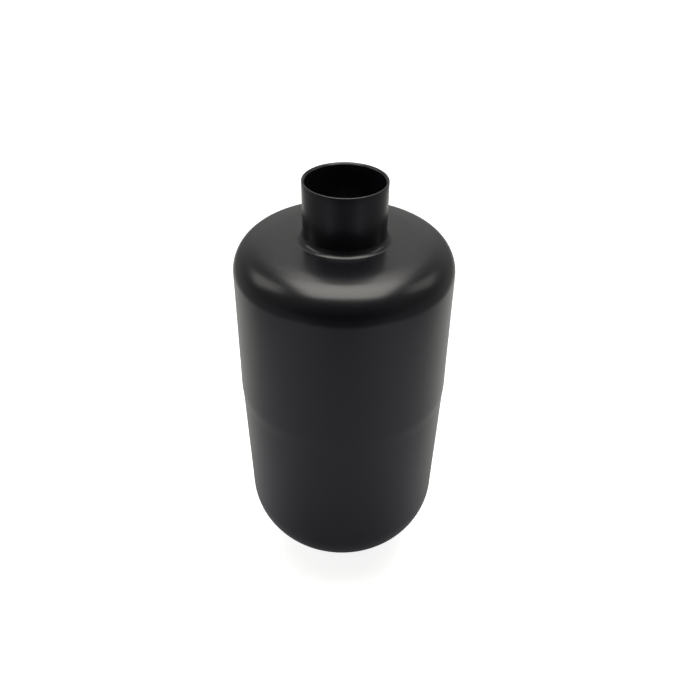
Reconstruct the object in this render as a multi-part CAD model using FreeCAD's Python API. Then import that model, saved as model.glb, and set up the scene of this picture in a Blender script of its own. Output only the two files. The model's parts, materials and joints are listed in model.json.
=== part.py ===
import FreeCAD, Part
import math
import os

# Exhaust muffler: a round steel can of two drawn cups, welded edge to edge round its girth.
# A plain round neck is welded into the end of each cup. Inside are a small chamber, a packed
# chamber round a perforated core, and two empty chambers joined by transfer tubes.
# Millimetres. +Z runs up the can's axis, from the outlet neck's rim at z = 0 to the inlet
# neck's rim. Outlines are drawn in the half plane of radius r and height z.

Vector = FreeCAD.Vector

# ---- Driving dimensions, in millimetres and degrees ----

# The can
can_r = 57.75           # outer radius of the front cup at the girth joint, the widest place
can_sheet = 1.5         # sheet of both cups
girth_step = 0.23       # the rear cup is this much smaller in radius at the joint
front_flare = 0.87      # the front cup's wall widens towards the joint by this angle
rear_taper = 0.73       # the rear cup's wall narrows away from the joint by this angle
front_depth = 88.35     # from the joint up to the shoulder, at the inlet neck
rear_depth = 116.2      # from the joint down to the rear dome's end, at the outlet neck
shoulder_fall = 1.0     # the shoulder falls outwards by this angle
edge_start_r = 38.0     # from here its drawn edge falls more
edge_fall = 9.0
edge_blend = 45.0       # radius of the gentle bend between the two
shoulder_bend = 16.1    # radius of the bend from the shoulder's edge to the wall
dome_bend = 35.7        # radius of the rear dome
dome_rise = 5.0         # the dome's end rises outwards by this angle

# The necks
neck_r = 21.0           # outer radius of both necks
inlet_neck_length = 30.1
outlet_neck_length = 24.0
neck_reach = 4.0        # how far each neck reaches inside the cup's sheet
inlet_weld_r = 3.6      # hollow of the smooth weld between the inlet neck and the shoulder
outlet_weld_r = 1.6     # the same between the outlet neck and the dome
rim_round = 0.35        # the edges of the necks' outer ends
inlet_lead_in = 0.8     # the inlet's inner edge is opened out by this, to lead the pipe in

# The girth joint
root_half_gap = 0.5     # the weld fills a groove, this wide at the inside of the sheet
groove_half_width = 1.5  # and this wide at the outside
weld_crown = 0.03       # the dressed weld stands this much above the sheet
backing_reach = 8.0     # the backing ring's reach to each side of the joint
backing_sheet = 1.2

# Core and tail pipe
core_r = 19.05          # outer radius of the 1 1/2 in tubes
core_wall = 1.2
core_below_middle = 22.0  # the core's open end is this far below the middle baffle
hole_r = 2.0            # perforations
holes_round = 12
packed_hole_rows = 5    # in the packed chamber
front_hole_rows = 2     # in the small chamber under the shoulder
tail_hole_rows = 5
hole_row_pitch = 6.0    # from one row of holes to the next
tail_top_z = 80.0       # the capped inner end of the tail pipe
cap_depth = 7.0
cap_sheet = 1.2
cap_bend = 3.0

# Collars that hold the tubes in line with the necks
collar_sheet = 1.2
collar_reach_r = 33.0   # outer radius of the inlet collar's flange
collar_bend = 2.0
collar_step_gap = 1.0   # from the neck's end to the step down to the tube's size
collar_step_bends = (2.0, 2.5)
collar_sleeve = 9.0
seat_gap = 1.2          # the tube's end stops this far from the step
dome_flange_angle = 25.0  # the outlet collar's flange follows the dome this far

# Baffles
plate = 1.2
rim_height = 10.0       # turned rim of each baffle
rim_bend = 4.2
hub_height = 8.0        # turned edge round the core
hub_bend = 3.0
front_baffle_z = 188.0  # lower face
middle_baffle_z = 149.5  # lower face
rear_baffle_z = 96.0    # upper face
swage_height = 2.2      # pressed stiffening ring
swage_bend = 2.0
front_swage = (29.0, 44.0)  # the ring's inner and outer radius
rear_swage = (8.0, 19.0)

# Transfer tubes through the rear baffle
transfer_count = 3
transfer_r = 10.0
transfer_wall = 1.0
transfer_circle_r = 34.5
transfer_top_z = 118.0
transfer_bottom_z = 72.0

# Packing
wool_r = 23.0           # outside of the steel wool
inner_packing_r = 38.0
packing_r = 53.45       # outside of the packing
packing_edge = 3.0      # the mat's outer edges are rounded, clear of the baffles' bends
wire_r = 0.6
wire_count = 3

# Welds
weld_leg = 1.6
weld_bulge = 0.3        # a bead's face is rounded by this share of its throat
collar_weld_count = 6
collar_weld_sweep = 24.0
rim_weld_count = 8
rim_weld_sweep = 18.0

# ---- Heights that follow ----
joint_z = outlet_neck_length + rear_depth
shoulder_z = joint_z + front_depth
inlet_rim_z = shoulder_z + inlet_neck_length
packing_bottom_z = middle_baffle_z + plate
core_end_z = middle_baffle_z - core_below_middle


def tan(angle):
    return math.tan(math.radians(angle))


def cos(angle):
    return math.cos(math.radians(angle))


def sin(angle):
    return math.sin(math.radians(angle))


# ---- Outlines of bent sheet ----

def at(place):
    """The point of the drawing plane at a place's radius and height."""
    return Vector(place[0], 0, place[1])


def line(a, b):
    return Part.makeLine(at(a), at(b))


def arc(a, middle, b):
    return Part.Arc(at(a), at(middle), at(b)).toShape()


def way(a, b):
    """Unit direction from one corner to the next."""
    length = math.hypot(b[0] - a[0], b[1] - a[1])
    return (b[0] - a[0]) / length, (b[1] - a[1]) / length


def beside(corners, gap):
    """The corners (r, z, bend radius) of the line that runs a gap to the left of this one."""
    moved = []
    for i, (r, z, bend) in enumerate(corners):
        before = way(corners[max(i, 1) - 1], corners[max(i, 1)])
        after = way(corners[i], corners[i + 1]) if i + 1 < len(corners) else before
        turn = before[0] * after[1] - before[1] * after[0]
        reach = gap / (1 + before[0] * after[0] + before[1] * after[1])
        new_bend = bend - math.copysign(1, turn) * gap if bend else 0
        moved.append((r - (before[1] + after[1]) * reach, z + (before[0] + after[0]) * reach, new_bend))
    return moved


def bent_edges(corners):
    """Straight runs along the corners, with a tangent arc at each corner that has a bend radius."""
    edges = []
    start = corners[0]
    for i in range(1, len(corners) - 1):
        r, z, bend = corners[i]
        before = way(corners[i - 1], corners[i])
        after = way(corners[i], corners[i + 1])
        if not bend:
            edges.append(line(start, (r, z)))
            start = (r, z)
            continue
        half_turn = math.acos(before[0] * after[0] + before[1] * after[1]) / 2
        back = bend * math.tan(half_turn)
        enter = (r - before[0] * back, z - before[1] * back)
        leave = (r + after[0] * back, z + after[1] * back)
        inward = (after[0] - before[0]) / 2, (after[1] - before[1]) / 2
        depth = (bend / math.cos(half_turn) - bend) / math.sin(half_turn)
        middle = (r + inward[0] * depth, z + inward[1] * depth)
        edges.append(line(start, enter))
        edges.append(arc(enter, middle, leave))
        start = leave
    edges.append(line(start, corners[-1]))
    return edges


def spun(edges, start=0, sweep=360, centre=(0, 0)):
    """The closed outline swept round a vertical axis."""
    face = Part.Face(Part.Wire(edges))
    solid = face.revolve(Vector(0, 0, 0), Vector(0, 0, 1), sweep)
    solid.rotate(Vector(0, 0, 0), Vector(0, 0, 1), start)
    solid.translate(Vector(centre[0], centre[1], 0))
    return solid


def pressed(corners, gap):
    """A pressed round part: one side of its sheet follows the corners, the other is to the left."""
    other = beside(corners, gap)
    return spun([
        *bent_edges(corners),
        line(corners[-1], other[-1]),
        *bent_edges(other[::-1]),
        line(other[0], corners[0]),
    ])


def tube(outer_r, wall, low_z, high_z, centre=(0, 0)):
    base = Vector(centre[0], centre[1], low_z)
    outside = Part.makeCylinder(outer_r, high_z - low_z, base)
    return outside.cut(Part.makeCylinder(outer_r - wall, high_z - low_z, base))


def weld_face(corner, toe_a, toe_b):
    """The slightly round face of a weld that fills a corner, from toe to toe."""
    middle = [(a + b) / 2 for a, b in zip(toe_a, toe_b)]
    crown = [m + (m - c) * weld_bulge for m, c in zip(middle, corner)]
    return arc(toe_a, crown, toe_b)


def bead(corner, toe_a, toe_b, start=0, sweep=360, centre=(0, 0)):
    """A fillet weld in a corner, swept round a vertical axis."""
    edges = [line(corner, toe_a), weld_face(corner, toe_a, toe_b), line(toe_b, corner)]
    return spun(edges, start, sweep, centre)


def stitch_welds(corners, gap, count, sweep):
    """Short welds round a sheet's last edge, joining it to the wall that its last run lies on."""
    corner = corners[-1][:2]
    toe_sheet = beside(corners, gap)[-1][:2]
    along = way(corners[-2], corners[-1])
    toe_wall = (corner[0] + along[0] * weld_leg, corner[1] + along[1] * weld_leg)
    welds = [bead(corner, toe_sheet, toe_wall, 360 * i / count, sweep) for i in range(count)]
    return Part.makeCompound(welds)


def hole_rows(middle_z, rows):
    """Holes to drill through a core tube, each row turned by half a pitch from the last."""
    drills = []
    for row in range(rows):
        z = middle_z + (row - (rows - 1) / 2) * hole_row_pitch
        for i in range(holes_round // 2):
            angle = 360 / holes_round * (i + 0.5 * (row % 2))
            across = Vector(cos(angle), sin(angle), 0)
            base = Vector(0, 0, z) - across * 2 * core_r
            drills.append(Part.makeCylinder(hole_r, 4 * core_r, base, across))
    return drills


def end_edge(pipe, z, r):
    """The round edge of a pipe's end, at this height and radius."""
    circles = [e for e in pipe.Edges if len(e.Vertexes) == 1]
    return [e for e in circles if abs(e.Vertexes[0].Z - z) < 1e-4 and abs(e.Curve.Radius - r) < 1e-4]


# ---- The can's walls ----

def front_wall(z, depth=0):
    """Radius of the front cup's wall, at a depth below its outer face."""
    return can_r - (z - joint_z) * tan(front_flare) - depth / cos(front_flare)


def rear_wall(z, depth=0):
    """Radius of the rear cup's wall, at a depth below its outer face."""
    return can_r - girth_step - (joint_z - z) * tan(rear_taper) - depth / cos(rear_taper)


def shoulder_under(r):
    """Height of the shoulder's inner face, inside the edge's start."""
    return shoulder_z - (r - neck_r) * tan(shoulder_fall) - can_sheet / cos(shoulder_fall)


def shoulder_corners():
    """The outer face's corners, where its edge would meet the wall unrounded, and where the edge starts."""
    edge_z = shoulder_z - (edge_start_r - neck_r) * tan(shoulder_fall)
    fall = tan(edge_fall)
    flare = tan(front_flare)
    r = (can_r - (edge_z + edge_start_r * fall - joint_z) * flare) / (1 - fall * flare)
    z = edge_z - (r - edge_start_r) * fall
    return [(r, z, shoulder_bend), (edge_start_r, edge_z, edge_blend)]


def dome_corner():
    """Where the dome's end and the rear cup's wall would meet unrounded, on the outer face."""
    rise = tan(dome_rise)
    taper = tan(rear_taper)
    r = (can_r - girth_step - (rear_depth + neck_r * rise) * taper) / (1 - rise * taper)
    return r, outlet_neck_length + (r - neck_r) * rise


def dome_point(radius, angle):
    """A point about the dome's centre of curvature, at an angle from straight down."""
    corner_r, corner_z = dome_corner()
    back = dome_bend * tan((90 - dome_rise - rear_taper) / 2)
    centre_r = corner_r - back * cos(dome_rise) - dome_bend * sin(dome_rise)
    centre_z = corner_z - back * sin(dome_rise) + dome_bend * cos(dome_rise)
    return centre_r + radius * sin(angle), centre_z - radius * cos(angle)


# ---- Cups and the girth joint ----

def girth_groove():
    """The groove's corners: inner low, outer low, outer high, inner high."""
    high = joint_z + groove_half_width
    low = joint_z - groove_half_width
    root_high = joint_z + root_half_gap
    root_low = joint_z - root_half_gap
    return [
        (rear_wall(root_low, can_sheet), root_low),
        (rear_wall(low), low),
        (front_wall(high), high),
        (front_wall(root_high, can_sheet), root_high),
    ]


def beyond_groove(side):
    """A ring that covers the groove and everything beyond it: below for side -1, above for side 1."""
    inner_low, outer_low, outer_high, inner_high = girth_groove()
    inner, outer = (inner_high, outer_high) if side < 0 else (inner_low, outer_low)
    past = (outer[0] * 2 - inner[0], outer[1] * 2 - inner[1])
    before = (inner[0] * 2 - outer[0], inner[1] * 2 - outer[1])
    far_z = joint_z + side * 4 * groove_half_width
    outline = [before, past, (past[0], far_z), (before[0], far_z)]
    return spun([line(a, b) for a, b in zip(outline, outline[1:] + outline[:1])])


def neck_hole(z):
    """The hole for a neck in the end of a cup whose outer face is at height z."""
    return Part.makeCylinder(neck_r, 4 * can_sheet, Vector(0, 0, z - 2 * can_sheet))


def front_cup():
    below = joint_z - can_sheet
    corners = [
        (front_wall(below), below, 0),
        *shoulder_corners(),
        (neck_r, shoulder_z, 0),
    ]
    return pressed(corners, can_sheet).cut([beyond_groove(-1), neck_hole(shoulder_z)])


def rear_cup():
    above = joint_z + can_sheet
    corners = [
        (neck_r, outlet_neck_length, 0),
        (*dome_corner(), dome_bend),
        (rear_wall(above), above, 0),
    ]
    return pressed(corners, can_sheet).cut([beyond_groove(1), neck_hole(outlet_neck_length)])


def girth_weld():
    inner_low, outer_low, outer_high, inner_high = girth_groove()
    crown = ((outer_low[0] + outer_high[0]) / 2 + weld_crown, joint_z)
    return spun([
        line(inner_low, outer_low),
        arc(outer_low, crown, outer_high),
        line(outer_high, inner_high),
        line(inner_high, (front_wall(joint_z, can_sheet), joint_z)),
        line((front_wall(joint_z, can_sheet), joint_z), (rear_wall(joint_z, can_sheet), joint_z)),
        line((rear_wall(joint_z, can_sheet), joint_z), inner_low),
    ])


def girth_backing_ring():
    high = joint_z + backing_reach
    low = joint_z - backing_reach
    inner_r = rear_wall(low, can_sheet) - backing_sheet
    outline = [
        (inner_r, low),
        (rear_wall(low, can_sheet), low),
        (rear_wall(joint_z, can_sheet), joint_z),
        (front_wall(joint_z, can_sheet), joint_z),
        (front_wall(high, can_sheet), high),
        (inner_r, high),
    ]
    return spun([line(a, b) for a, b in zip(outline, outline[1:] + outline[:1])])


# ---- Necks ----

def inlet_neck_end_z():
    return shoulder_under(neck_r) - neck_reach


def dome_end_inside_z():
    """Height of the inner face of the dome's end, at the neck."""
    return outlet_neck_length + can_sheet / cos(dome_rise)


def outlet_neck_end_z():
    return dome_end_inside_z() + neck_reach


def inlet_neck():
    """Its outer edge is rounded, and its inner edge opened out."""
    pipe = tube(neck_r, can_sheet, inlet_neck_end_z(), inlet_rim_z)
    pipe = pipe.makeFillet(rim_round, end_edge(pipe, inlet_rim_z, neck_r))
    return pipe.makeChamfer(inlet_lead_in, end_edge(pipe, inlet_rim_z, neck_r - can_sheet))


def outlet_neck():
    """Both edges of its outer end are rounded."""
    pipe = tube(neck_r, can_sheet, 0, outlet_neck_end_z())
    return pipe.makeFillet(rim_round, end_edge(pipe, 0, neck_r) + end_edge(pipe, 0, neck_r - can_sheet))


def neck_weld(corner_z, hollow_r, fall, side):
    """A smooth hollow weld round a neck, tangent to it and to the cup's end.

    The cup's end falls outwards by the angle fall; side is 1 for the top and -1 for the bottom.
    """
    centre = (neck_r + hollow_r, corner_z + side * hollow_r * tan((90 - fall) / 2))
    toe_neck = (neck_r, centre[1])
    toe_cup = (centre[0] - hollow_r * sin(fall), centre[1] - side * hollow_r * cos(fall))
    half = (90 - fall) / 2
    middle = (centre[0] - hollow_r * cos(half), centre[1] - side * hollow_r * sin(half))
    corner = (neck_r, corner_z)
    return spun([line(corner, toe_neck), arc(toe_neck, middle, toe_cup), line(toe_cup, corner)])


def inlet_neck_weld():
    return neck_weld(shoulder_z, inlet_weld_r, shoulder_fall, 1)


def outlet_neck_weld():
    return neck_weld(outlet_neck_length, outlet_weld_r, dome_rise, -1)


# ---- Inlet side ----

def inlet_collar_corners():
    """From the flange's edge along the shoulder, down the neck, and in to the core's size."""
    step_z = inlet_neck_end_z() - collar_step_gap
    seat_z = step_z - (neck_r - core_r)
    return [
        (collar_reach_r, shoulder_under(collar_reach_r), 0),
        (neck_r, shoulder_under(neck_r), collar_bend),
        (neck_r, step_z, collar_step_bends[0]),
        (core_r, seat_z, collar_step_bends[1]),
        (core_r, seat_z - collar_sleeve, 0),
    ]


def inlet_collar():
    return pressed(inlet_collar_corners(), collar_sheet)


def inlet_collar_welds():
    corners = inlet_collar_corners()[::-1]
    return stitch_welds(corners, -collar_sheet, collar_weld_count, collar_weld_sweep)


def inlet_tube():
    top_z = inlet_collar_corners()[3][1] - seat_gap
    pipe = tube(core_r, core_wall, core_end_z, top_z)
    packed_z = (packing_bottom_z + front_baffle_z) / 2
    front_z = (front_baffle_z + hub_height + inlet_collar_corners()[-1][1]) / 2
    return pipe.cut(hole_rows(packed_z, packed_hole_rows) + hole_rows(front_z, front_hole_rows))


def ring_weld_on_core(edge_z, side, sheet):
    """A weld between the core tube and the end of a collar or hub; side is the way it points."""
    corner = (core_r, edge_z)
    return bead(corner, (core_r + sheet, edge_z), (core_r, edge_z + side * weld_leg))


def inlet_tube_welds():
    collar_end_z = inlet_collar_corners()[-1][1]
    rings = [
        ring_weld_on_core(collar_end_z, -1, collar_sheet),
        ring_weld_on_core(front_baffle_z + hub_height, 1, plate),
        ring_weld_on_core(middle_baffle_z + plate - hub_height, -1, plate),
    ]
    return Part.makeCompound(rings)


# ---- Baffles ----

def swage(start_r, end_r, z, height):
    """The corners of a stiffening ring pressed out of a plate, on the way from start_r to end_r."""
    run = math.copysign(height, end_r - start_r)
    return [
        (start_r, z, swage_bend),
        (start_r + run, z + height, swage_bend),
        (end_r - run, z + height, swage_bend),
        (end_r, z, swage_bend),
    ]


def front_baffle_corners():
    z = front_baffle_z
    top_z = z + rim_height
    return [
        (core_r, z + hub_height, 0),
        (core_r, z, hub_bend),
        *swage(*front_swage, z, swage_height),
        (front_wall(z, can_sheet), z, rim_bend),
        (front_wall(top_z, can_sheet), top_z, 0),
    ]


def middle_baffle_corners():
    z = middle_baffle_z
    top_z = z + rim_height
    hub_r = core_r + plate
    return [
        (hub_r, z + plate - hub_height, 0),
        (hub_r, z, hub_bend - plate),
        (front_wall(z, can_sheet), z, rim_bend),
        (front_wall(top_z, can_sheet), top_z, 0),
    ]


def rear_baffle_corners():
    z = rear_baffle_z
    low_z = z - rim_height
    return [
        (rear_wall(low_z, can_sheet), low_z, 0),
        (rear_wall(z, can_sheet), z, rim_bend),
        *swage(*rear_swage[::-1], z, -swage_height),
        (0, z, 0),
    ]


def front_baffle():
    return pressed(front_baffle_corners(), plate)


def middle_baffle():
    return pressed(middle_baffle_corners(), plate)


def rear_baffle():
    """A disc with its rim turned down, and a hole for each transfer tube."""
    low_z = rear_baffle_z - 2 * plate
    holes = [Part.makeCylinder(transfer_r, 4 * plate, Vector(x, y, low_z)) for x, y in transfer_centres()]
    return pressed(rear_baffle_corners(), plate).cut(holes)


def front_baffle_welds():
    return stitch_welds(front_baffle_corners(), plate, rim_weld_count, rim_weld_sweep)


def middle_baffle_welds():
    return stitch_welds(middle_baffle_corners(), plate, rim_weld_count, rim_weld_sweep)


def rear_baffle_welds():
    return stitch_welds(rear_baffle_corners()[::-1], -plate, rim_weld_count, rim_weld_sweep)


# ---- Transfer tubes ----

def transfer_centres():
    angles = [90 + 360 * i / transfer_count for i in range(transfer_count)]
    return [(transfer_circle_r * cos(a), transfer_circle_r * sin(a)) for a in angles]


def transfer_tube(index):
    return tube(transfer_r, transfer_wall, transfer_bottom_z, transfer_top_z, transfer_centres()[index])


def transfer_tube_welds():
    corner = (transfer_r, rear_baffle_z)
    toe_plate = (transfer_r + weld_leg, rear_baffle_z)
    toe_tube = (transfer_r, rear_baffle_z + weld_leg)
    return Part.makeCompound([bead(corner, toe_plate, toe_tube, centre=c) for c in transfer_centres()])


# ---- Packing ----

def steel_wool_sleeve():
    return tube(wool_r, wool_r - core_r, packing_bottom_z, front_baffle_z)


def packing_inner_layer():
    return tube(inner_packing_r, inner_packing_r - wool_r, packing_bottom_z, front_baffle_z)


def packing_outer_layer():
    mat = tube(packing_r, packing_r - inner_packing_r, packing_bottom_z, front_baffle_z)
    edges = [e for e in mat.Edges if len(e.Vertexes) == 1 and e.BoundBox.XMax > packing_r - 0.01]
    return mat.makeFillet(packing_edge, edges)


def packing_binding_wires():
    pitch = (front_baffle_z - packing_bottom_z - rim_height) / wire_count
    first_z = packing_bottom_z + rim_height + pitch / 2
    return Part.makeCompound([
        Part.makeTorus(packing_r + wire_r, wire_r, Vector(0, 0, first_z + i * pitch))
        for i in range(wire_count)
    ])


# ---- Outlet side ----

def outlet_sleeve_corners():
    """From the end of the dome's curve along its end, up the neck, and in to the tail pipe's size."""
    step_z = outlet_neck_end_z() + collar_step_gap
    seat_z = step_z + neck_r - core_r
    return [
        (*dome_point(dome_bend - can_sheet, dome_rise), 0),
        (neck_r, dome_end_inside_z(), collar_bend),
        (neck_r, step_z, collar_step_bends[0]),
        (core_r, seat_z, collar_step_bends[1]),
        (core_r, seat_z + collar_sleeve, 0),
    ]


def flange_arc(radius, start, end):
    """An arc about the dome's centre of curvature, from one angle to another."""
    middle = (start + end) / 2
    return arc(dome_point(radius, start), dome_point(radius, middle), dome_point(radius, end))


def outlet_collar():
    """Its flange follows the dome, and its sleeve goes round the neck and the tail pipe."""
    outer = dome_bend - can_sheet
    inner = outer - collar_sheet
    sleeve = outlet_sleeve_corners()
    back = beside(sleeve, -collar_sheet)
    return spun([
        flange_arc(outer, dome_flange_angle, dome_rise),
        *bent_edges(sleeve),
        line(sleeve[-1], back[-1]),
        *bent_edges(back[::-1]),
        flange_arc(inner, dome_rise, dome_flange_angle),
        line(dome_point(inner, dome_flange_angle), dome_point(outer, dome_flange_angle)),
    ])


def outlet_collar_welds():
    outer = dome_bend - can_sheet
    corner = dome_point(outer, dome_flange_angle)
    toe_sheet = dome_point(outer - collar_sheet, dome_flange_angle)
    toe_angle = dome_flange_angle + math.degrees(weld_leg / outer)
    toe_wall = dome_point(outer, toe_angle)
    edges = [
        line(corner, toe_sheet),
        weld_face(corner, toe_sheet, toe_wall),
        flange_arc(outer, toe_angle, dome_flange_angle),
    ]
    starts = [360 * i / collar_weld_count for i in range(collar_weld_count)]
    return Part.makeCompound([spun(edges, start, collar_weld_sweep) for start in starts])


def tail_pipe():
    sleeve = outlet_sleeve_corners()
    pipe = tube(core_r, core_wall, sleeve[-2][1] + seat_gap, tail_top_z)
    middle_z = (sleeve[-1][1] + tail_top_z - cap_depth) / 2
    return pipe.cut(hole_rows(middle_z, tail_hole_rows))


def tail_pipe_cap():
    """A pressed cup, fitted into the tail pipe's inner end with its mouth flush."""
    cap_r = core_r - core_wall
    floor_z = tail_top_z - cap_depth
    corners = [(0, floor_z, 0), (cap_r, floor_z, cap_bend), (cap_r, tail_top_z, 0)]
    return pressed(corners, cap_sheet)


def tail_pipe_welds():
    """A ring weld at the collar, and an edge weld over the cap's mouth and the pipe's end."""
    sleeve_top_z = outlet_sleeve_corners()[-1][1]
    inner = (core_r - core_wall - cap_sheet, tail_top_z)
    outer = (core_r, tail_top_z)
    crown = ((inner[0] + outer[0]) / 2, tail_top_z + weld_leg / 2)
    edge_weld = spun([line(inner, outer), arc(outer, crown, inner)])
    return Part.makeCompound([ring_weld_on_core(sleeve_top_z, 1, collar_sheet), edge_weld])


# ---- The object ----

nodes = {
    "front_cup": front_cup,
    "rear_cup": rear_cup,
    "girth_weld": girth_weld,
    "inlet_neck": inlet_neck,
    "inlet_neck_weld": inlet_neck_weld,
    "outlet_neck": outlet_neck,
    "outlet_neck_weld": outlet_neck_weld,
    "girth_backing_ring": girth_backing_ring,
    "inlet_collar": inlet_collar,
    "inlet_collar_welds": inlet_collar_welds,
    "inlet_tube": inlet_tube,
    "inlet_tube_welds": inlet_tube_welds,
    "front_baffle": front_baffle,
    "front_baffle_welds": front_baffle_welds,
    "steel_wool_sleeve": steel_wool_sleeve,
    "packing_inner_layer": packing_inner_layer,
    "packing_outer_layer": packing_outer_layer,
    "packing_binding_wires": packing_binding_wires,
    "middle_baffle": middle_baffle,
    "middle_baffle_welds": middle_baffle_welds,
    "rear_baffle": rear_baffle,
    "rear_baffle_welds": rear_baffle_welds,
    "transfer_tube_welds": transfer_tube_welds,
    "tail_pipe": tail_pipe,
    "tail_pipe_cap": tail_pipe_cap,
    "tail_pipe_welds": tail_pipe_welds,
    "outlet_collar": outlet_collar,
    "outlet_collar_welds": outlet_collar_welds,
}

os.makedirs("parts", exist_ok=True)
for name, make in nodes.items():
    make().exportStep(f"parts/{name}.step")
for index in range(transfer_count):
    transfer_tube(index).exportStep(f"parts/transfer_tube_{index + 1}.step")
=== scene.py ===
import json
import math

import bmesh
import bpy
from mathutils import Matrix, Vector, noise

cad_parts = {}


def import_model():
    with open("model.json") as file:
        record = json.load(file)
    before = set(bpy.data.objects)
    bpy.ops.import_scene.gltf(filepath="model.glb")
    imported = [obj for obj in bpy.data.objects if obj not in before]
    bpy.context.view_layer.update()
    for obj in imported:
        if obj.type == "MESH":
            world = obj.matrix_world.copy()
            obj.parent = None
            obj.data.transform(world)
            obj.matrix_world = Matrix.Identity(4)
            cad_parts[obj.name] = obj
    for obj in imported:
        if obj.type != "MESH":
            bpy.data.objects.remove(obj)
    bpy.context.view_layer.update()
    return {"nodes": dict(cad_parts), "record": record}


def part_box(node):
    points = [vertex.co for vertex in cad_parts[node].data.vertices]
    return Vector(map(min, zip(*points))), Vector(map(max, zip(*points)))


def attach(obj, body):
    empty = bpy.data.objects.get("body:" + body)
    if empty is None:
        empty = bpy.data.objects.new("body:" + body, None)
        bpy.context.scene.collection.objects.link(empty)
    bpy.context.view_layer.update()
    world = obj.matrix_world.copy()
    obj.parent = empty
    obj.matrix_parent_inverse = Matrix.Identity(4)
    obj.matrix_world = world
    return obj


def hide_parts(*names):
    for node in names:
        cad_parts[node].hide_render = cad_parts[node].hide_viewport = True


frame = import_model()

MM = 0.001

# ---- Sizes, in millimetres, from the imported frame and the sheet-metal rules of the part ----


def top_of(node):
    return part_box(node)[1].z / MM


def foot_of(node):
    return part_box(node)[0].z / MM


def mount_radius(name):
    return next(m["dims"]["r_mm"] for m in frame["record"]["mounts"] if m["name"] == name)


can_sheet = 1.5
neck_r = mount_radius("inlet_bore") + can_sheet
joint_z = (foot_of("front_cup") + top_of("rear_cup")) / 2
shoulder_z = top_of("front_cup")
dome_foot_z = foot_of("rear_cup")
inlet_rim_z = top_of("inlet_neck")
can_r = 57.75
girth_step = 0.23
front_flare = math.radians(0.87)
rear_taper = math.radians(0.73)
shoulder_fall = math.radians(1.0)
edge_start_r = 38.0
edge_fall = math.radians(9.0)
edge_blend = 45.0
shoulder_bend = 16.1
dome_bend = 35.7
dome_rise = math.radians(5.0)
groove_half_width = 1.5
root_half_gap = 0.5
rim_round = 0.35
inlet_lead_in = 0.8         # the opened-out inner edge of the inlet neck
inlet_weld_r = 3.6
outlet_weld_r = 1.6
weld_ripple = 0.04          # as a share of the distance from the weld's corner
dressed_above = 3.5         # how far the joint's dressing reaches on each side
dressed_below = 7.0
swell_height = 0.11         # the joint stands slightly proud
swell_reach = 8.0
bead_height = 0.015
bead_unevenness = 0.01
plain_r = 45.0              # within this radius the ends keep clear of the joint's shape
wall_r = 50.0
wool_r = 23.0
inner_packing_r = 38.0

ROUND = 360                 # steps round a turned piece


# ---- Outlines: corners are (radius, height, bend radius) ----

def way(a, b):
    length = math.hypot(b[0] - a[0], b[1] - a[1])
    return (b[0] - a[0]) / length, (b[1] - a[1]) / length


def beside(corners, gap):
    """The corners of the line that runs a gap to the left of this one."""
    moved = []
    for i, (r, z, bend) in enumerate(corners):
        before = way(corners[max(i, 1) - 1], corners[max(i, 1)])
        after = way(corners[i], corners[i + 1]) if i + 1 < len(corners) else before
        turn = before[0] * after[1] - before[1] * after[0]
        reach = gap / (1 + before[0] * after[0] + before[1] * after[1])
        new_r = r - (before[1] + after[1]) * reach
        new_z = z + (before[0] + after[0]) * reach
        new_bend = bend - math.copysign(1, turn) * gap if bend else 0
        moved.append((new_r, new_z, new_bend))
    return moved


def bent_line(corners, turn_step=3.0, run_step=3.0):
    """Points along the corners, with an arc at each bend and steps of at most run_step on the runs."""
    points = [corners[0][:2]]
    for i in range(1, len(corners)):
        r, z, bend = corners[i]
        before = way(corners[i - 1], corners[i])
        arc = []
        target = (r, z)
        if i + 1 < len(corners) and bend:
            after = way(corners[i], corners[i + 1])
            half = math.acos(max(-1, min(1, before[0] * after[0] + before[1] * after[1]))) / 2
            side = math.copysign(1, before[0] * after[1] - before[1] * after[0])
            back = bend * math.tan(half)
            target = (r - before[0] * back, z - before[1] * back)
            centre = (target[0] - side * before[1] * bend, target[1] + side * before[0] * bend)
            steps = max(3, math.ceil(math.degrees(2 * half) / turn_step))
            for k in range(1, steps + 1):
                a = side * 2 * half * k / steps
                dx, dz = target[0] - centre[0], target[1] - centre[1]
                arc.append((centre[0] + dx * math.cos(a) - dz * math.sin(a),
                            centre[1] + dx * math.sin(a) + dz * math.cos(a)))
        start = points[-1]
        length = math.hypot(target[0] - start[0], target[1] - start[1])
        steps = max(1, math.ceil(length / run_step))
        points += [(start[0] + (target[0] - start[0]) * k / steps,
                    start[1] + (target[1] - start[1]) * k / steps) for k in range(1, steps + 1)]
        points += arc
    return points


# ---- Meshes ----

def finished(name, verts, faces):
    """A smooth-shaded mesh object from points in millimetres, riding on the can's one body."""
    mesh = bpy.data.meshes.new(name)
    mesh.from_pydata([Vector(v) * MM for v in verts], [], faces)
    mesh.validate()
    mesh.shade_smooth()
    mesh.set_sharp_from_angle(angle=math.radians(38))
    obj = bpy.data.objects.new(name, mesh)
    bpy.context.scene.collection.objects.link(obj)
    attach(obj, "root")
    return obj


def lathe(name, outline, steps=ROUND, shape=None):
    """The closed outline turned round the can's axis; shape moves a point (r, z, angle)."""
    verts = []
    for i in range(steps):
        angle = 2 * math.pi * i / steps
        for r, z in outline:
            if shape:
                r, z = shape(r, z, angle)
            verts.append((r * math.cos(angle), r * math.sin(angle), z))
    n = len(outline)
    faces = []
    for i in range(steps):
        a, b = i * n, (i + 1) % steps * n
        faces += [(a + k, b + k, b + (k + 1) % n, a + (k + 1) % n) for k in range(n)]
    obj = finished(name, verts, faces)
    mesh = bmesh.new()
    mesh.from_mesh(obj.data)
    bmesh.ops.recalc_face_normals(mesh, faces=mesh.faces)
    mesh.to_mesh(obj.data)
    mesh.free()
    return obj


# ---- The can's own lines ----

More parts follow.
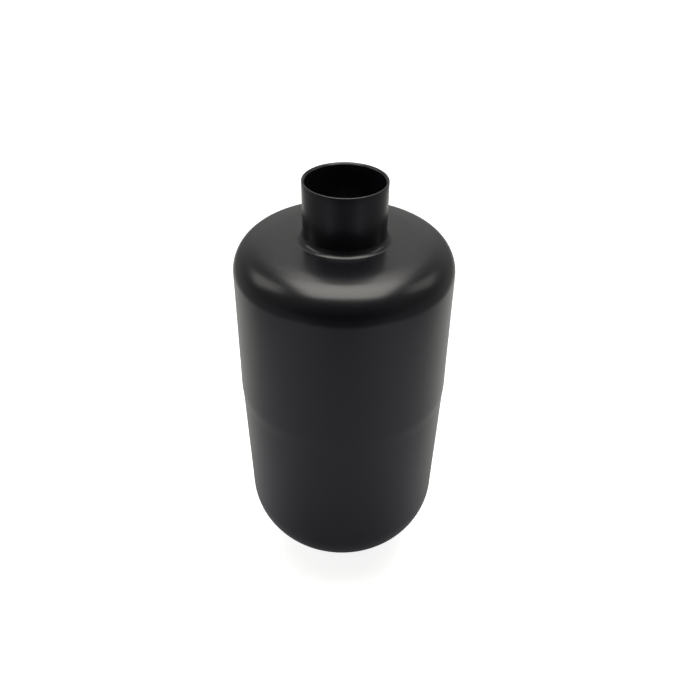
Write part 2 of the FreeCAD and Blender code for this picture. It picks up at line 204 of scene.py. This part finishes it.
def front_wall(z, depth=0):
    return can_r - (z - joint_z) * math.tan(front_flare) - depth / math.cos(front_flare)


def rear_wall(z, depth=0):
    return can_r - girth_step - (joint_z - z) * math.tan(rear_taper) - depth / math.cos(rear_taper)


def shoulder_corners():
    edge_z = shoulder_z - (edge_start_r - neck_r) * math.tan(shoulder_fall)
    fall = math.tan(edge_fall)
    flare = math.tan(front_flare)
    r = (can_r - (edge_z + edge_start_r * fall - joint_z) * flare) / (1 - fall * flare)
    return [(r, edge_z - (r - edge_start_r) * fall, shoulder_bend), (edge_start_r, edge_z, edge_blend)]


def uneven_noise(x, y, z):
    """A smooth noise from about -1 to 1."""
    return noise.noise(Vector((x, y, z)), noise_basis="PERLIN_NEW")


def smooth(value, low, high):
    """0 below low, 1 above high, and a soft rise between."""
    t = max(0.0, min(1.0, (value - low) / (high - low)))
    return t * t * (3 - 2 * t)


def drawn_sheet(r, z, angle):
    """The sheet as it came out of the press, and the joint's dressing.

    It is slightly uneven, and near the joint the two cups' walls run softly into each other in a low
    swell. The sheet moves as one, through its whole thickness.
    """
    x, y = math.cos(angle), math.sin(angle)
    broad = uneven_noise(x * 2.2, y * 2.2, z / 26) * 0.05
    fine = uneven_noise(x * 6, y * 6, z / 12) * 0.008
    off = (broad + fine) * smooth(r, neck_r + 4, neck_r + 20)
    step = front_wall(z) - rear_wall(z)
    share = smooth(z, joint_z - dressed_below, joint_z + dressed_above)
    if z >= joint_z:
        share -= 1
    swell = swell_height * math.exp(-((z - joint_z - 1) / swell_reach) ** 2)
    return r + off + (step * share + swell) * smooth(r, plain_r, wall_r), z


def front_cup():
    high = joint_z + groove_half_width
    root = joint_z + root_half_gap
    outside = [(front_wall(high), high, 0), *shoulder_corners(), (neck_r, shoulder_z, 0)]
    inside = beside([(front_wall(root), root, 0)] + outside[1:], can_sheet)
    outline = bent_line(outside, 2, 1.6) + bent_line(inside[::-1])
    piece = lathe("front_cup_skin", outline, shape=drawn_sheet)
    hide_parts("front_cup")
    return piece


def rear_cup():
    low = joint_z - groove_half_width
    root = joint_z - root_half_gap
    rise = math.tan(dome_rise)
    taper = math.tan(rear_taper)
    corner_r = can_r - girth_step - (joint_z - dome_foot_z + neck_r * rise) * taper
    corner_r /= 1 - rise * taper
    corner = (corner_r, dome_foot_z + (corner_r - neck_r) * rise, dome_bend)
    outside = [(neck_r, dome_foot_z, 0), corner, (rear_wall(low), low, 0)]
    inside = beside([outside[0], corner, (rear_wall(root), root, 0)], can_sheet)
    outline = bent_line(outside, 2, 1.6) + bent_line(inside[::-1])
    piece = lathe("rear_cup_skin", outline, shape=drawn_sheet)
    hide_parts("rear_cup")
    return piece


def neck(name, node, rim_z, end_z, rim_inside):
    """A neck with a rounded outer edge; rim_inside is its rim's inner edge, as corners."""
    bore_r = neck_r - can_sheet
    line = [(neck_r, end_z, 0), (neck_r, rim_z, rim_round), *rim_inside, (bore_r, end_z, 0)]
    piece = lathe(name, bent_line(line, turn_step=15))
    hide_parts(node)
    return piece


def neck_weld(name, node, corner_z, hollow_r, fall, side):
    """The smooth hollow weld round a neck, with the faint ripples of the bead under the paint."""
    half = (math.pi / 2 - fall) / 2
    centre = (neck_r + hollow_r, corner_z + side * hollow_r * math.tan(half))
    points = [(neck_r, corner_z)]
    steps = 14
    for k in range(steps + 1):
        a = 2 * half * k / steps
        r = centre[0] - hollow_r * math.cos(a)
        points.append((r, centre[1] - side * hollow_r * math.sin(a)))

    def ripple(r, z, angle):
        depth = min(r - neck_r, abs(z - corner_z))
        wave = uneven_noise(math.cos(angle) * 6, math.sin(angle) * 6, side * 3) * weld_ripple
        return r + depth * wave, z + side * depth * wave
    piece = lathe(name, points, steps=720, shape=ripple)
    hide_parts(node)
    return piece


def girth_weld():
    """The dressed weld, nearly lost under the paint: its edges and face are slightly uneven."""
    low, high = joint_z - groove_half_width, joint_z + groove_half_width
    root_high, root_low = joint_z + root_half_gap, joint_z - root_half_gap
    steps = 16
    outer = []
    for k in range(steps + 1):
        z = low + (high - low) * k / steps
        outer.append(((rear_wall(z) if z < joint_z else front_wall(z)), z))
    inner = [(front_wall(root_high, can_sheet), root_high), (rear_wall(root_low, can_sheet), root_low)]

    def uneven(r, z, angle):
        base, _ = drawn_sheet(r, z, angle)
        middle = max(0, 1 - ((z - joint_z) / groove_half_width) ** 2)
        x, y = math.cos(angle), math.sin(angle)
        bumps = bead_height + uneven_noise(x * 14, y * 14, z / 3) * bead_unevenness
        return base + middle * bumps, z
    piece = lathe("girth_bead", outer + inner, steps=1080, shape=uneven)
    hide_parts("girth_weld")
    return piece


# ---- Packing ----

def rolled_mat(name, node, inner_r, outer_r, turns, rough):
    """A mat rolled round the core: a spiral strip with soft edges and a lumpy face."""
    low, high = foot_of(node), top_of(node)
    thick = (outer_r - inner_r) / (turns + 1)
    edge = min(1.6, thick * 0.42)
    outline = bent_line([
        (0, low + 0.6 * edge, 0),
        (0, low, edge),
        (thick, low, edge),
        (thick, high, edge),
        (0, high, edge),
        (0, low + 0.6 * edge, 0),
    ], turn_step=30, run_step=2.5)[:-1]
    n = len(outline)
    steps = int(turns * 220)
    verts = []
    for i in range(steps + 1):
        angle = 2 * math.pi * turns * i / steps
        start = inner_r + thick * turns * i / steps
        x, y = math.cos(angle), math.sin(angle)
        for across, z in outline:
            lump = noise.noise(Vector((x * start, y * start, z)) * 0.22)
            lump += 0.6 * noise.noise(Vector((x * start, y * start, z)) * 0.9)
            inset = rough * (0.5 + 0.5 * lump)
            side = 1 - 2 * across / thick
            r = start + across + inset * side
            up = 1 - 2 * (z - low) / (high - low)
            verts.append((r * x, r * y, z + inset * up))
    faces = []
    for i in range(steps):
        a, c = i * n, (i + 1) * n
        faces += [(a + k, c + k, c + (k + 1) % n, a + (k + 1) % n) for k in range(n)]
    faces += [tuple(range(n))[::-1], tuple(range(steps * n, (steps + 1) * n))]
    piece = finished(name, verts, faces)
    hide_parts(node)
    return piece


def swept(path, radius, closed, sides=10):
    """Points and faces of a round wire along a path of points."""
    verts, faces = [], []
    count = len(path)
    for i, p in enumerate(path):
        ahead = path[(i + 1) % count] if closed or i + 1 < count else p
        behind = path[i - 1] if closed or i else p
        along = (Vector(ahead) - Vector(behind)).normalized()
        aside = Vector((0, 0, 1)) if abs(along.z) < 0.9 else Vector((1, 0, 0))
        first = along.cross(aside).normalized()
        second = along.cross(first)
        for k in range(sides):
            a = 2 * math.pi * k / sides
            verts.append(Vector(p) + radius * (first * math.cos(a) + second * math.sin(a)))
    for i in range(count if closed else count - 1):
        a, c = i * sides, (i + 1) % count * sides
        faces += [(a + k, a + (k + 1) % sides, c + (k + 1) % sides, c + k) for k in range(sides)]
    if not closed:
        faces += [tuple(range(sides))[::-1], tuple(range((count - 1) * sides, count * sides))]
    return verts, faces


def binding_wires():
    """Three soft wires round the packing, each drawn tight and closed with a twisted end."""
    wire_r, rows = 0.6, 3
    ring_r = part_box("packing_binding_wires")[1].x / MM - wire_r
    low, high = foot_of("packing_binding_wires") + wire_r, top_of("packing_binding_wires") - wire_r
    verts, faces = [], []

    def add(more):
        base = len(verts)
        verts.extend(more[0])
        faces.extend(tuple(base + v for v in face) for face in more[1])
    for row in range(rows):
        z = low + (high - low) * row / (rows - 1)
        turn = math.radians(200 + 25 * row)
        add(swept([
            (ring_r * math.cos(a), ring_r * math.sin(a), z + 0.25 * math.sin(2 * a + row))
            for a in (2 * math.pi * i / 240 for i in range(240))
        ], wire_r, True))
        for strand in range(2):
            path = []
            for i in range(49):
                t = i / 48
                spin = 2 * math.pi * 2.5 * t + math.pi * strand
                r = ring_r - 0.35 + 0.5 * math.cos(spin)
                side = 0.5 * math.sin(spin) / ring_r
                path.append((r * math.cos(turn + side), r * math.sin(turn + side), z + 7.5 * t))
            add(swept(path, 0.45, False))
    piece = finished("binding_wires_twisted", verts, faces)
    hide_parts("packing_binding_wires")
    return piece


# ---- Materials ----

def new_material(name):
    material = bpy.data.materials.new(name)
    material.use_nodes = True
    nodes = material.node_tree.nodes
    shader = next(n for n in nodes if n.type == "BSDF_PRINCIPLED")
    return material, nodes, material.node_tree.links, shader


def calc(nodes, links, operation, *values):
    """A Math node on links or numbers; returns its result."""
    node = nodes.new("ShaderNodeMath")
    node.operation = operation
    for socket, value in zip(node.inputs, values):
        if isinstance(value, (int, float)):
            socket.default_value = value
        else:
            links.new(value, socket)
    return node.outputs[0]


def eased(nodes, links, value, low, high, at_low, at_high):
    """A Map Range node with a soft rise; returns its result."""
    node = nodes.new("ShaderNodeMapRange")
    node.interpolation_type = "SMOOTHSTEP"
    links.new(value, node.inputs["Value"])
    numbers = {"From Min": low, "From Max": high, "To Min": at_low, "To Max": at_high}
    for socket, number in numbers.items():
        node.inputs[socket].default_value = number
    return node.outputs["Result"]


def object_noise(nodes, links, scale, detail=4, stretch=None):
    """A noise in the object's own space, stretched along its axes if asked."""
    place = nodes.new("ShaderNodeTexCoord")
    texture = nodes.new("ShaderNodeTexNoise")
    texture.inputs["Scale"].default_value = scale
    texture.inputs["Detail"].default_value = detail
    where = place.outputs["Object"]
    if stretch:
        mapping = nodes.new("ShaderNodeMapping")
        mapping.inputs["Scale"].default_value = stretch
        links.new(where, mapping.inputs["Vector"])
        where = mapping.outputs["Vector"]
    links.new(where, texture.inputs["Vector"])
    return texture.outputs["Fac"]


def toned(nodes, links, value, *stops):
    """A colour ramp on a value, with (position, colour) stops; returns its colour."""
    ramp = nodes.new("ShaderNodeValToRGB")
    elements = ramp.color_ramp.elements
    while len(elements) < len(stops):
        elements.new(0.5)
    for element, (position, colour) in zip(elements, stops):
        element.position = position
        element.color = (*colour, 1)
    links.new(value, ramp.inputs["Fac"])
    return ramp.outputs["Color"]


def ranged(nodes, links, value, low, high):
    """The value, from 0 to 1, spread from low to high."""
    node = nodes.new("ShaderNodeMapRange")
    node.inputs["To Min"].default_value = low
    node.inputs["To Max"].default_value = high
    links.new(value, node.inputs["Value"])
    return node.outputs["Result"]


def bumped(nodes, links, shader, height, depth_mm, strength=1.0):
    bump = nodes.new("ShaderNodeBump")
    bump.inputs["Strength"].default_value = strength
    bump.inputs["Distance"].default_value = depth_mm * MM
    links.new(height, bump.inputs["Height"])
    links.new(bump.outputs["Normal"], shader.inputs["Normal"])


def satin_paint():
    """Near-black satin paint: faint orange peel, and slight changes of gloss where it was handled."""
    material, nodes, links, shader = new_material("satin_black_paint")
    tone = object_noise(nodes, links, 42, 2)
    dark, light = (0.0045, 0.0042, 0.0064), (0.0064, 0.0060, 0.0084)
    links.new(toned(nodes, links, tone, (0.3, dark), (0.75, light)), shader.inputs["Base Color"])
    links.new(ranged(nodes, links, tone, 0.245, 0.285), shader.inputs["Roughness"])
    bumped(nodes, links, shader, object_noise(nodes, links, 520, 2), 0.02, 0.09)
    shader.inputs["IOR"].default_value = 1.5
    return material


def steel(name, light, dark, low_rough, high_rough, stretch, soot):
    """Mill-finish steel: drawing lines along the stretch, and brown and sooty stains from the gas."""
    material, nodes, links, shader = new_material(name)
    grain = object_noise(nodes, links, 900, 6, stretch)
    stain = object_noise(nodes, links, 38, 6)
    metal = toned(nodes, links, grain, (0.3, dark), (0.7, light))
    tint = toned(nodes, links, stain, (0.35, (0.12, 0.085, 0.055)), (0.5, (0.62, 0.50, 0.36)),
                 (0.65, (1, 1, 1)))
    mix = nodes.new("ShaderNodeMix")
    mix.data_type = "RGBA"
    mix.blend_type = "MULTIPLY"
    mix.inputs["Factor"].default_value = soot
    links.new(metal, mix.inputs["A"])
    links.new(tint, mix.inputs["B"])
    links.new(mix.outputs["Result"], shader.inputs["Base Color"])
    links.new(ranged(nodes, links, grain, low_rough, high_rough), shader.inputs["Roughness"])
    bumped(nodes, links, shader, grain, 0.02, 0.35)
    shader.inputs["Metallic"].default_value = 1.0
    return material


def weld_steel(name, ripples):
    """A weld bead's blued and browned steel, with ripples across the bead."""
    material, nodes, links, shader = new_material(name)
    place = nodes.new("ShaderNodeTexCoord")
    split = nodes.new("ShaderNodeSeparateXYZ")
    links.new(place.outputs["Object"], split.inputs[0])
    turn = calc(nodes, links, "ARCTAN2", split.outputs["Y"], split.outputs["X"])
    wobble = object_noise(nodes, links, 600, 3)
    phase = calc(nodes, links, "ADD", calc(nodes, links, "MULTIPLY", turn, ripples),
                 calc(nodes, links, "MULTIPLY", wobble, 2.4))
    ripple = calc(nodes, links, "MULTIPLY_ADD", calc(nodes, links, "SINE", phase), 0.5, 0.5)
    heat = object_noise(nodes, links, 160, 4)
    colour = toned(nodes, links, heat, (0.3, (0.09, 0.10, 0.16)), (0.5, (0.30, 0.27, 0.24)),
                   (0.7, (0.42, 0.30, 0.17)))
    links.new(colour, shader.inputs["Base Color"])
    links.new(ranged(nodes, links, wobble, 0.35, 0.6), shader.inputs["Roughness"])
    bumped(nodes, links, shader, ripple, 0.12, 0.8)
    shader.inputs["Metallic"].default_value = 1.0
    return material


def fibres(name, light, dark, shine, depth_mm, metallic):
    """Matted fibres that lie mostly round the roll, with painted shade in the gaps between them."""
    material, nodes, links, shader = new_material(name)
    strands = object_noise(nodes, links, 1500, 8, (0.35, 0.35, 2.6))
    clumps = object_noise(nodes, links, 130, 5)
    both = calc(nodes, links, "MULTIPLY_ADD", strands, 0.65, calc(nodes, links, "MULTIPLY", clumps, 0.35))
    # Painted shade: the same value drives colour and bump, so the low gaps between fibres are darker.
    links.new(toned(nodes, links, both, (0.36, dark), (0.58, light)), shader.inputs["Base Color"])
    links.new(ranged(nodes, links, clumps, shine, shine + 0.25), shader.inputs["Roughness"])
    bumped(nodes, links, shader, both, depth_mm, 0.9)
    shader.inputs["Metallic"].default_value = metallic
    shader.inputs["Sheen Weight"].default_value = 0.2
    return material


def coated(pieces, material):
    for piece in pieces:
        piece.data.materials.clear()
        piece.data.materials.append(material)


# ---- The object ----

coated([
    front_cup(),
    rear_cup(),
    neck("inlet_neck_pipe", "inlet_neck", inlet_rim_z, foot_of("inlet_neck"), [
        (neck_r - can_sheet + inlet_lead_in, inlet_rim_z, 0.3),
        (neck_r - can_sheet, inlet_rim_z - inlet_lead_in, 0.1),
    ]),
    neck("outlet_neck_pipe", "outlet_neck", 0, top_of("outlet_neck"), [
        (neck_r - can_sheet, 0, rim_round),
    ]),
    neck_weld("inlet_neck_bead", "inlet_neck_weld", shoulder_z, inlet_weld_r, shoulder_fall, 1),
    neck_weld("outlet_neck_bead", "outlet_neck_weld", dome_foot_z, outlet_weld_r, dome_rise, -1),
    girth_weld(),
], satin_paint())

core_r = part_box("inlet_tube")[1].x / MM
packing_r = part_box("packing_outer_layer")[1].x / MM
glass = fibres("glass_fibre_mat", (0.86, 0.83, 0.70), (0.50, 0.42, 0.27), 0.65, 0.35, 0.0)
coated([
    rolled_mat("inner_glass_mat", "packing_inner_layer", wool_r, inner_packing_r, 2, 0.5),
    rolled_mat("outer_glass_mat", "packing_outer_layer", inner_packing_r, packing_r, 2, 0.5),
], glass)
wool = fibres("steel_wool_strands", (0.55, 0.54, 0.52), (0.07, 0.065, 0.06), 0.3, 0.4, 0.9)
coated([
    rolled_mat("steel_wool_wrap", "steel_wool_sleeve", core_r, wool_r, 1, 0.35),
], wool)
wire = steel("annealed_wire", (0.40, 0.38, 0.36), (0.20, 0.18, 0.17), 0.3, 0.5, (1, 1, 4), 0.5)
coated([binding_wires()], wire)


def cad_nodes(*names):
    return [frame["nodes"][name] for name in names]


pressed = steel("pressed_sheet_steel", (0.46, 0.45, 0.43), (0.33, 0.32, 0.30), 0.28, 0.46, (1, 1, 1), 0.7)
coated(cad_nodes(
    "girth_backing_ring", "inlet_collar", "outlet_collar",
    "front_baffle", "middle_baffle", "rear_baffle", "tail_pipe_cap",
), pressed)
drawn = steel("drawn_tube_steel", (0.54, 0.52, 0.49), (0.40, 0.38, 0.36), 0.22, 0.40, (1, 1, 0.06), 0.8)
coated(cad_nodes(
    "inlet_tube", "tail_pipe", "transfer_tube_1", "transfer_tube_2", "transfer_tube_3",
), drawn)
coated(cad_nodes(
    "inlet_collar_welds", "inlet_tube_welds", "tail_pipe_welds", "transfer_tube_welds",
), weld_steel("weld_small", 105))
coated(cad_nodes(
    "outlet_collar_welds", "front_baffle_welds", "middle_baffle_welds", "rear_baffle_welds",
), weld_steel("weld_wide", 260))

# ---- Stage ----

def disc(name, radius, z, steps=128):
    mesh = bpy.data.meshes.new(name)
    angles = [2 * math.pi * i / steps for i in range(steps)]
    ring = [(radius * math.cos(a), radius * math.sin(a), z) for a in angles]
    mesh.from_pydata(ring, [], [tuple(range(steps))])
    obj = bpy.data.objects.new(name, mesh)
    bpy.context.scene.collection.objects.link(obj)
    return obj


def floor():
    """A pale floor, which shows from above only; its reflection in the paint is the darker card's."""
    obj = disc("floor", 6.0, 0.0)
    material, nodes, links, shader = new_material("pale_floor")
    shader.inputs["Base Color"].default_value = (0.5, 0.5, 0.5, 1)
    shader.inputs["Roughness"].default_value = 0.9
    shader.inputs["Emission Color"].default_value = (1, 1, 1, 1)
    shader.inputs["Emission Strength"].default_value = 0.84
    from_below = nodes.new("ShaderNodeNewGeometry").outputs["Backfacing"]
    clear = nodes.new("ShaderNodeBsdfTransparent")
    either = nodes.new("ShaderNodeMixShader")
    links.new(from_below, either.inputs[0])
    links.new(shader.outputs["BSDF"], either.inputs[1])
    links.new(clear.outputs["BSDF"], either.inputs[2])
    out = next(n for n in nodes if n.type == "OUTPUT_MATERIAL")
    links.new(either.outputs["Shader"], out.inputs["Surface"])
    obj.data.materials.append(material)
    obj.visible_glossy = False
    obj.visible_diffuse = False
    return obj


def floor_card():
    """A glowing card that stands in for the lit table in the paint's reflections: pale paper on a darker
    floor.

    Only reflections see it, and its whole glow is painted reflection. The paper carries painted shade: it
    darkens towards the can's foot as a painted contact shadow, and darkens straight in front of the can.
    It is brighter behind the can and to its right, and has soft edges in front and at its sides.
    """
    obj = disc("floor_card", 6.0, -0.0005)
    material = bpy.data.materials.new("painted_table_reflection")
    material.use_nodes = True
    nodes, links = material.node_tree.nodes, material.node_tree.links
    nodes.clear()
    place = nodes.new("ShaderNodeTexCoord")
    split = nodes.new("ShaderNodeSeparateXYZ")
    links.new(place.outputs["Object"], split.inputs[0])
    side = calc(nodes, links, "ABSOLUTE", split.outputs["X"])
    back = split.outputs["Y"]
    squares = [calc(nodes, links, "MULTIPLY", length, length) for length in (side, back)]
    away = calc(nodes, links, "SQRT", calc(nodes, links, "ADD", *squares))
    sideways = calc(nodes, links, "DIVIDE", side, calc(nodes, links, "MAXIMUM", away, 0.01))
    lit = calc(nodes, links, "MULTIPLY_ADD", calc(nodes, links, "POWER", sideways, 4), 0.040, away)
    # Painted shadow: the paper's glow falls from 0.537 to 0.12 towards the can's foot, a painted contact
    # shadow.
    near = eased(nodes, links, lit, 0.02, 0.20, 0.12, 0.537)
    far = eased(nodes, links, away, 0.20, 0.32, 1.0, 1.06)
    # Painted shade: the paper's glow is lower straight in front of the can; behind it and to its right it
    # glows brighter.
    middle = eased(nodes, links, side, 0.0, 0.30, 0.83, 1.0)
    rear = eased(nodes, links, back, -0.05, 0.13, 1.0, 1.28)
    right = eased(nodes, links, split.outputs["X"], -0.25, 0.25, 1.01, 1.05)
    paper = near
    for factor in (far, middle, rear, right):
        paper = calc(nodes, links, "MULTIPLY", paper, factor)
    side_edges = eased(nodes, links, side, 0.31, 0.43, 1.0, 0.0)
    front_edge = eased(nodes, links, back, -0.48, -0.39, 0.0, 1.0)
    inside = calc(nodes, links, "MULTIPLY", side_edges, front_edge)
    ahead = eased(nodes, links, sideways, 0.15, 0.95, 0.10, 0.26)
    behind = eased(nodes, links, back, 0.0, 0.5, 0.0, 0.06)
    table = calc(nodes, links, "ADD", ahead, behind)
    # The glow is painted reflection of the lit paper and table; it lights nothing.
    glow = nodes.new("ShaderNodeEmission")
    out = nodes.new("ShaderNodeOutputMaterial")
    step = calc(nodes, links, "SUBTRACT", paper, table)
    level = calc(nodes, links, "MULTIPLY_ADD", inside, step, table)
    links.new(level, glow.inputs["Strength"])
    # The glow's colour is painted reflection too: bluer in front of the can, warmer behind it.
    facing = calc(nodes, links, "DIVIDE", back, calc(nodes, links, "MAXIMUM", away, 0.01))
    warm = eased(nodes, links, facing, -0.5, 0.4, 0.0, 1.0)
    tint = toned(nodes, links, warm, (0.0, (0.94, 0.92, 1.0)), (1.0, (1.0, 0.995, 0.96)))
    links.new(tint, glow.inputs["Color"])
    links.new(glow.outputs["Emission"], out.inputs["Surface"])
    obj.data.materials.append(material)
    obj.visible_camera = False
    obj.visible_diffuse = False
    obj.visible_shadow = False
    return obj


def softbox(name, place, aim, size, radiance, lean=0):
    """A rectangular soft light at a place, facing the aim, of the given brightness, slightly warm.

    It is turned in its own plane by lean degrees.
    """
    data = bpy.data.lights.new(name, "AREA")
    data.color = (1.0, 0.99, 0.93)
    data.shape = "RECTANGLE"
    data.size, data.size_y = size
    data.energy = radiance * math.pi * size[0] * size[1]
    obj = bpy.data.objects.new(name, data)
    obj.location = place
    turned = (Vector(aim) - Vector(place)).to_track_quat("-Z", "Y").to_matrix()
    obj.rotation_euler = (turned @ Matrix.Rotation(math.radians(lean), 3, "Z")).to_euler()
    bpy.context.scene.collection.objects.link(obj)
    return obj


def world():
    """Studio walls: dark in front of the can, brighter at its sides, behind it and up high behind."""
    scene_world = bpy.data.worlds.new("studio")
    scene_world.use_nodes = True
    nodes, links = scene_world.node_tree.nodes, scene_world.node_tree.links
    nodes.clear()
    place = nodes.new("ShaderNodeTexCoord")
    split = nodes.new("ShaderNodeSeparateXYZ")
    links.new(place.outputs["Generated"], split.inputs[0])
    back, up = split.outputs["Y"], split.outputs["Z"]
    sides = eased(nodes, links, back, -0.98, -0.35, 0.02, 0.175)
    behind = eased(nodes, links, back, -0.1, 1.0, 0.0, 0.15)
    walls = calc(nodes, links, "ADD", sides, behind)
    high = calc(
        nodes, links, "MULTIPLY",
        calc(nodes, links, "POWER", calc(nodes, links, "MAXIMUM", back, 0.0), 5),
        calc(nodes, links, "MAXIMUM", up, 0.0))
    shade = nodes.new("ShaderNodeBackground")
    out = nodes.new("ShaderNodeOutputWorld")
    links.new(calc(nodes, links, "MULTIPLY_ADD", high, 1.5, walls), shade.inputs["Strength"])
    shade.inputs["Color"].default_value = (1.0, 0.99, 0.95, 1)
    links.new(shade.outputs["Background"], out.inputs["Surface"])
    bpy.context.scene.world = scene_world


def backdrop():
    """A pale studio backdrop all round, which only the camera sees."""
    mesh = bpy.data.meshes.new("backdrop")
    shell = bmesh.new()
    bmesh.ops.create_uvsphere(shell, u_segments=64, v_segments=32, radius=5.9)
    shell.to_mesh(mesh)
    shell.free()
    obj = bpy.data.objects.new("backdrop", mesh)
    bpy.context.scene.collection.objects.link(obj)
    material = bpy.data.materials.new("pale_backdrop")
    material.use_nodes = True
    nodes, links = material.node_tree.nodes, material.node_tree.links
    nodes.clear()
    glow = nodes.new("ShaderNodeEmission")
    out = nodes.new("ShaderNodeOutputMaterial")
    glow.inputs["Color"].default_value = (1, 1, 1, 1)
    links.new(glow.outputs["Emission"], out.inputs["Surface"])
    obj.data.materials.append(material)
    obj.visible_glossy = False
    obj.visible_diffuse = False
    obj.visible_shadow = False


floor()
floor_card()
backdrop()
world()
softbox("overhead_softbox", (0.02, -0.03, 1.22), (0.02, -0.03, 0), (1.04, 0.70), 5.0)
softbox("overhead_softbox_middle", (0.02, 0.45, 1.22), (0.02, 0.45, 0), (0.96, 0.26), 3.9)
softbox("overhead_softbox_rear", (0.02, 0.76, 1.22), (0.02, 0.76, 0), (0.70, 0.36), 3.0)
softbox("left_softbox", (-1.61, 0.19, 1.31), (0, 0, 0.2), (0.74, 1.12), 1.86, -40)
softbox("right_softbox", (1.59, 0.28, 1.33), (0, 0, 0.2), (0.70, 1.0), 1.28, 40)


def camera():
    """Looks down at the can from close in front, a little right of it, and rolled a little."""
    down = math.radians(37.724)
    roll = math.radians(1.058)
    place = Vector((0.00367, -0.30684, joint_z * MM + 0.25402))
    ahead = Vector((0, math.cos(down), -math.sin(down)))
    right = Vector((1, 0, 0))
    below = ahead.cross(right)
    turned_right = right * math.cos(roll) - below * math.sin(roll)
    turned_below = right * math.sin(roll) + below * math.cos(roll)
    data = bpy.data.cameras.new("camera")
    data.lens = 35.476
    data.sensor_width = 36
    data.clip_start = 0.01
    obj = bpy.data.objects.new("camera", data)
    axes = Matrix((turned_right, -turned_below, -ahead)).transposed().to_4x4()
    axes.translation = place
    obj.matrix_world = axes
    bpy.context.scene.collection.objects.link(obj)
    bpy.context.scene.camera = obj


camera()
bpy.context.scene.view_settings.view_transform = "Standard"
bpy.context.scene.view_settings.look = "None"
